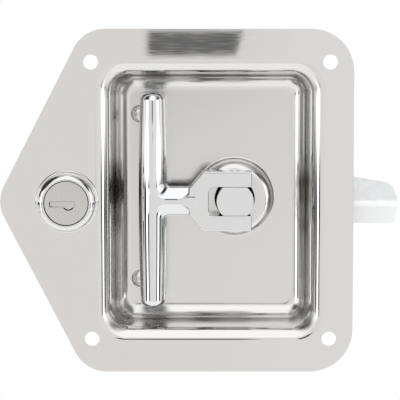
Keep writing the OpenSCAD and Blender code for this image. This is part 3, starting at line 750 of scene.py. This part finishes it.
def housing_mesh():
    """Lock body: flatted core with clip slots, then the foot, cove and round crest of the bezel."""
    head_bore_r = PLUG_R + PLUG_PLAY
    foot_y = FACE_Y - BEZEL_FOOT_R
    cove_y = foot_y - BEZEL_FOOT_R - BEZEL_COVE_R
    slot_y, slot_end_y = CLIP_SLOT
    section = [
        (CORE_BORE_R, CORE_BACK_Y),
        (CORE_R - CORE_CHAMFER, CORE_BACK_Y),
        (CORE_R, CORE_BACK_Y - CORE_CHAMFER),
        (CORE_R, slot_end_y + NICK),
        (CORE_R, slot_end_y - NICK),
        (CORE_R, slot_y + NICK),
        (CORE_R, slot_y - NICK),
        (CORE_R, FACE_Y + NICK),
        (CORE_R + 0.05, FACE_Y),
        (BEZEL_R - 0.1, FACE_Y),
    ]
    section += arc((BEZEL_R - BEZEL_FOOT_R, foot_y), BEZEL_FOOT_R, 0, -90, steps=6)
    section += arc((BEZEL_NECK_R + BEZEL_COVE_R, cove_y), BEZEL_COVE_R, 90, 180, steps=3)
    crest = (BEZEL_NECK_R - BEZEL_CREST_R, BEZEL_TOP_Y + BEZEL_CREST_R)
    section += arc(crest, BEZEL_CREST_R, 0, -90, steps=20)
    section += [
        (head_bore_r + 0.05, BEZEL_TOP_Y + 0.03),
        (head_bore_r, BEZEL_TOP_Y + 0.15),
        (head_bore_r, HEAD_FLOOR_Y),
        (CORE_BORE_R, HEAD_FLOOR_Y),
    ]
    return turned("lock_body", section, LOCK_X, True, 160, housing_cut)


piece("lock_body", housing_mesh(), DULL_CHROME, "body", ["lock_housing"])


# Plates: flat outlines with holes, given thickness and broken edges

def plate_mesh(name, outer, holes, front, back, edge):
    bm = bmesh.new()
    rings = [ring(bm, points, front) for points in (outer, *holes)]
    fill(bm, *rings)
    bmesh.ops.recalc_face_normals(bm, faces=bm.faces)
    first = next(iter(bm.faces))
    if first.normal.y > 0:
        bmesh.ops.reverse_faces(bm, faces=bm.faces)
    thicken = ("SOLIDIFY", {"thickness": (back - front) * MM, "offset": -1.0})
    return shaped(mesh_from(bm, name), [thicken, *broken_edges(edge)])


def keyway_points(left, right, foot, top, scoop_r):
    """Outline of the keyway, or of what closes it, with a round ward cut below it."""
    half = math.degrees(math.acos((SCOOP_Z - foot) / scoop_r))
    scoop = arc((SCOOP_X, SCOOP_Z), scoop_r, 270 - half, 270 + half, steps=12)
    points = [(right, top), (left, top), (left, foot), *scoop, (right, foot)]
    return [(x + LOCK_X, z) for x, z in points]


def cap_mesh():
    rim = circle_points(LOCK_X, 0, CAP_R, 128)
    keyway = keyway_points(**KEYWAY)
    return plate_mesh("plug_face", rim, [keyway], PLUG_FACE_Y, PLUG_FACE_Y + CAP_T, CAP_EDGE)


piece("plug_face", cap_mesh(), BRUSHED, "plug", ["plug_cap"])


# CAD solids that are right as they are, given broken edges

def softened(node, name, material, body, width):
    """A copy of a CAD solid with its sharp edges broken, in place of it."""
    weld, flat_angle = 1e-6, math.radians(0.4)
    bm = bmesh.new()
    bm.from_mesh(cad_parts[node].data)
    bmesh.ops.remove_doubles(bm, verts=bm.verts, dist=weld)
    bmesh.ops.dissolve_limit(bm, angle_limit=flat_angle, verts=bm.verts, edges=bm.edges)
    mesh = bpy.data.meshes.new(name)
    bm.to_mesh(mesh)
    bm.free()
    mesh.polygons.foreach_set("use_smooth", [True] * len(mesh.polygons))
    result = shaped(mesh, broken_edges(width, segments=2))
    result.materials.clear()
    return piece(name, result, material, body, [node])


softened("spindle", "turning_spindle", CHROME, "spindle_set", 0.15)
softened("latch_tongue", "zinc_tongue", ZINC, "spindle_set", 0.8)
softened("lock_collar", "stop_collar", ZINC, "spindle_set", 0.2)
softened("guide_strap", "bar_strap", ZINC, "body", 0.2)
softened("lock_bar", "sliding_bar", ZINC, "slider", 0.2)
softened("lock_cam", "drive_cam", ZINC, "plug", 0.15)


def shutter_mesh():
    """The CAD flap with a pad on it that closes the keyway almost flush."""
    outline = keyway_points(**{side: KEYWAY[side] + PAD_INSET[side] for side in KEYWAY})
    pad = plate_mesh("pad", outline, [], PAD_FACE_Y, PAD_BACK_Y, PAD_EDGE)
    bm = bmesh.new()
    bm.from_mesh(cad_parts["dust_shutter"].data)
    bm.from_mesh(pad)
    mesh = bpy.data.meshes.new("key_shutter")
    bm.to_mesh(mesh)
    bm.free()
    mesh.materials.clear()
    return mesh


piece("key_shutter", shutter_mesh(), BRUSHED, "shutter", ["dust_shutter"])
softened("retaining_clip", "spring_clip", SPRING_STEEL, "body", 0.15)

# The other CAD solids keep their shape and take their finish here
FINISHES = {
    "spindle_bush": BRONZE,
    "spindle_seal": RUBBER,
    "thrust_washer": NYLON,
    "spring_washer": SPRING_STEEL,
    "spindle_nut": ZINC,
    "pivot_pin": BRIGHT_STEEL,
    "key_plug": BRASS,
    "wafers": BRASS,
    "cam_screw": ZINC,
    "shutter_pin": BRIGHT_STEEL,
}
for node, finish in FINISHES.items():
    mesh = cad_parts[node].data
    mesh.materials.clear()
    mesh.materials.append(finish)


# Rivets: one headed rivet, repeated by a node tree at each place

def rivet_mesh():
    """Domed head, shank and set tail; the two ends close on a small flat at the axis."""
    pole_angle, pole_r = 0.5, 0.2
    ball_r = (RIVET_HEAD_R ** 2 + RIVET_HEAD_H ** 2) / (2 * RIVET_HEAD_H)
    half = math.degrees(math.asin(RIVET_HEAD_R / ball_r))
    centre = (0, FLOOR_Y - RIVET_HEAD_H + ball_r)
    section = arc(centre, ball_r, pole_angle - 90, half - 90, steps=12)
    section += [
        (RIVET_HEAD_R - 0.05, FLOOR_Y),
        (RIVET_SHANK_R, FLOOR_Y),
        (RIVET_SHANK_R, RIVET_TAIL_FOOT_Y),
        (RIVET_TAIL_R - 0.1, RIVET_TAIL_FOOT_Y),
    ]
    tail = (RIVET_TAIL_R - RIVET_TAIL_ROUND, RIVET_TAIL_Y - RIVET_TAIL_ROUND)
    section += [*arc(tail, RIVET_TAIL_ROUND, 0, 90, steps=4), (pole_r, RIVET_TAIL_Y)]
    return turned("rivet", section, 0, False, 48)


def repeated(name, mesh, places, material):
    """Copies of a mesh at each place, made by a node tree and turned to a plain mesh."""
    spots = bpy.data.meshes.new(name + "_places")
    spots.from_pydata([(x * MM, 0, z * MM) for x, z in places], [], [])
    holder = bpy.data.objects.new(name + "_source", mesh)
    tree = bpy.data.node_groups.new(name + "_layout", "GeometryNodeTree")
    tree.interface.new_socket("Places", in_out="INPUT", socket_type="NodeSocketGeometry")
    source = tree.interface.new_socket("Shape", in_out="INPUT", socket_type="NodeSocketObject")
    tree.interface.new_socket("Result", in_out="OUTPUT", socket_type="NodeSocketGeometry")
    inputs = add(tree, "NodeGroupInput")
    shape = add(tree, "GeometryNodeObjectInfo", None, {"Object": inputs.outputs["Shape"]})
    points = add(tree, "GeometryNodeMeshToPoints", None, {"Mesh": inputs.outputs["Places"]})
    copies = add(
        tree,
        "GeometryNodeInstanceOnPoints",
        None,
        {"Points": points.outputs["Points"], "Instance": shape.outputs["Geometry"]},
    )
    plain = add(tree, "GeometryNodeRealizeInstances", None, {"Geometry": copies.outputs["Instances"]})
    dressed = add(
        tree, "GeometryNodeSetMaterial", {"Material": material}, {"Geometry": plain.outputs["Geometry"]}
    )
    add(tree, "NodeGroupOutput", None, {"Result": dressed.outputs["Geometry"]})
    work = bpy.data.objects.new(name + "_work", spots)
    for obj in (holder, work):
        bpy.context.scene.collection.objects.link(obj)
    modifier = work.modifiers.new("layout", "NODES")
    modifier.node_group = tree
    modifier[source.identifier] = holder
    result = bpy.data.meshes.new_from_object(work.evaluated_get(bpy.context.evaluated_depsgraph_get()))
    bpy.data.objects.remove(work)
    bpy.data.objects.remove(holder)
    return result


rivets = repeated("floor_rivets", rivet_mesh(), RIVET_PLACES, BRIGHT_STEEL)
piece("floor_rivets", rivets, BRIGHT_STEEL, "body", ["strap_rivets"])


# Stage: pale floor, soft tent light and the camera

def stage_floor():
    """A pale floor far enough below to stay out of the metal's near reflections."""
    half, drop = 3000.0, -1500.0
    bm = bmesh.new()
    corners = ((-1, -1), (1, -1), (1, 1), (-1, 1))
    bm.faces.new([bm.verts.new((x * half, y * half, drop)) for x, y in corners])
    mesh = mesh_from(bm, "floor", False)
    material = bpy.data.materials.new("pale_floor")
    material.use_nodes = True
    shader = material.node_tree.nodes["Principled BSDF"]
    shader.inputs["Base Color"].default_value = colour("#fafafa")
    shader.inputs["Roughness"].default_value = 0.9
    shader.inputs["Emission Color"].default_value = colour("#ffffff")
    shader.inputs["Emission Strength"].default_value = 0.58
    mesh.materials.append(material)
    floor = bpy.data.objects.new("floor", mesh)
    bpy.context.scene.collection.objects.link(floor)


stage_floor()


def soft_span(angle, low, high, soft):
    """The two ramps that bound a span of angles with soft ends."""
    return [(angle, (low - soft, low + soft), (0.0, 1.0)), (angle, (high - soft, high + soft), (1.0, 0.0))]


def grey(level, warm=0.0):
    return (level * (1 + warm), level, level * (1 - warm), 1.0)


# The room seen in the metal, painted in order over a pale grey wall. Each part spans an angle from the
# front, to both sides, across from left to right or on a slant, and an angle of rise. A span is its low end,
# high end and softness in degrees. Brightness comes last.
TENT = [
    # wall a little brighter to the right
    ("across", ((1.5, 60, 4), (-40, 18, 5)), 1.04),
    # ceiling, and the darker room beyond its sides
    ("side", ((-90, 32, 8), (16, 120, 6)), 1.4),
    ("side", ((34, 250, 9), (26, 120, 7)), 0.80),
    ("side", ((58, 250, 8), (28, 120, 7)), 0.58),
    # floor, darker to the sides and under the object
    ("side", ((30, 250, 8), (-120, -22, 6)), 0.95),
    ("side", ((50, 250, 8), (-120, -30, 6)), 0.62),
    ("side", ((66, 250, 8), (-120, -33, 6)), 0.36),
    ("side", ((-90, 24, 6), (-72, -46, 5)), 1.42),
    ("side", ((-90, 250, 8), (-120, -74, 6)), 0.80),
    # soft boxes at eye level, a dark gap over them and the pale side of the room
    ("side", ((31, 70, 3), (-5, -1.5, 1.2)), 1.9),
    ("side", ((38, 58, 4), (-2, 16, 3)), 1.9),
    ("side", ((36, 64, 4), (19, 40, 4)), 0.05),
    ("side", ((74, 125, 4), (-3, 25, 4)), 1.25),
    # low side of the room under the dark edge of the table, with dark legs and a bright box between them
    ("side", ((27, 135, 3), (-24, -5.2, 2)), 0.95),
    ("side", ((27, 135, 2), (-6.9, -4.9, 0.5)), 0.05),
    ("side", ((76, 250, 5), (-9, -3.8, 1.2)), 0.02),
    ("side", ((30, 42, 1.2), (-15, -5.2, 0.7)), 0.06),
    ("side", ((54, 68, 1.5), (-15, -5.2, 0.7)), 0.05),
    ("side", ((41, 52, 2), (-18, -4, 2)), 3.2),
    # dark screens high at the sides, and the camera with its stand
    ("across", ((-118, -76, 5), (5, 66, 6)), 0.04),
    ("across", ((-118, -46, 6), (18, 66, 6)), 0.05),
    ("across", ((62, 118, 6), (34, 62, 6)), 0.04),
    ("across", ((-6.4, 1.6, 0.3), (-0.5, 7, 0.3)), 0.03),
    ("across", ((-1.50, 1.4, 0.1), (-1.87, -1.17, 0.05)), 0.19),
    ("slant", ((1.6, 3.0, 0.02), (-2.0, -1.0, 0.03)), 1.0),
]
# Sideways lean of the slanted edge for each degree of rise
SLANT = 0.31


def studio_light():
    """A white tent with a grey front, dark stands and tall soft boxes, seen in the polished metal."""
    world = bpy.data.worlds.new("tent")
    bpy.context.scene.world = world
    world.use_nodes = True
    tree = world.node_tree
    way = add(tree, "ShaderNodeTexCoord").outputs["Generated"]
    parts = add(tree, "ShaderNodeSeparateXYZ", None, {"Vector": way})
    right, back, up = (parts.outputs[axis] for axis in "XYZ")
    front = add(tree, "ShaderNodeMath", {"operation": "MULTIPLY", 1: -1.0}, {0: back}).outputs["Value"]
    across = add(tree, "ShaderNodeMath", {"operation": "ARCTAN2"}, {0: right, 1: front}).outputs["Value"]
    side = add(tree, "ShaderNodeMath", {"operation": "ABSOLUTE"}, {0: across}).outputs["Value"]
    rise = add(tree, "ShaderNodeMath", {"operation": "ARCSINE"}, {0: up}).outputs["Value"]
    lean = {"operation": "MULTIPLY_ADD", 1: -SLANT}
    slant = add(tree, "ShaderNodeMath", lean, {0: rise, 2: across}).outputs["Value"]
    angles = {"side": side, "across": across, "slant": slant}
    layers = []
    for angle, (width, height), level in TENT:
        ramps = soft_span(angles[angle], *width) + soft_span(rise, *height)
        layers.append((mask(tree, DEGREE, ramps), grey(level)))
    seen = add(tree, "ShaderNodeLightPath").outputs["Is Camera Ray"]
    layers.append((seen, grey(1.0)))
    light = add(tree, "ShaderNodeRGB").outputs["Color"]
    light.default_value = grey(0.99, warm=0.02)
    for share, tint in layers:
        light = add(tree, "ShaderNodeMix", {"data_type": "RGBA", 7: tint}, {0: share, 6: light}).outputs[2]
    tree.links.new(light, tree.nodes["Background"].inputs["Color"])


studio_light()


def photo_camera():
    """A long lens from slightly above, square on to the plate."""
    distance, rise = 700.0, math.radians(6)
    aim = Vector((-3.7, FACE_Y, 0.6))
    data = bpy.data.cameras.new("camera")
    data.lens = 180.0
    data.sensor_width = 36.0
    data.clip_start = 0.01
    camera = bpy.data.objects.new("camera", data)
    bpy.context.scene.collection.objects.link(camera)
    camera.location = (aim + Vector((0, -math.cos(rise), math.sin(rise))) * distance) * MM
    camera.rotation_euler = (math.radians(90) - rise, 0, 0)
    bpy.context.scene.camera = camera


photo_camera()
bpy.context.scene.view_settings.view_transform = "Standard"
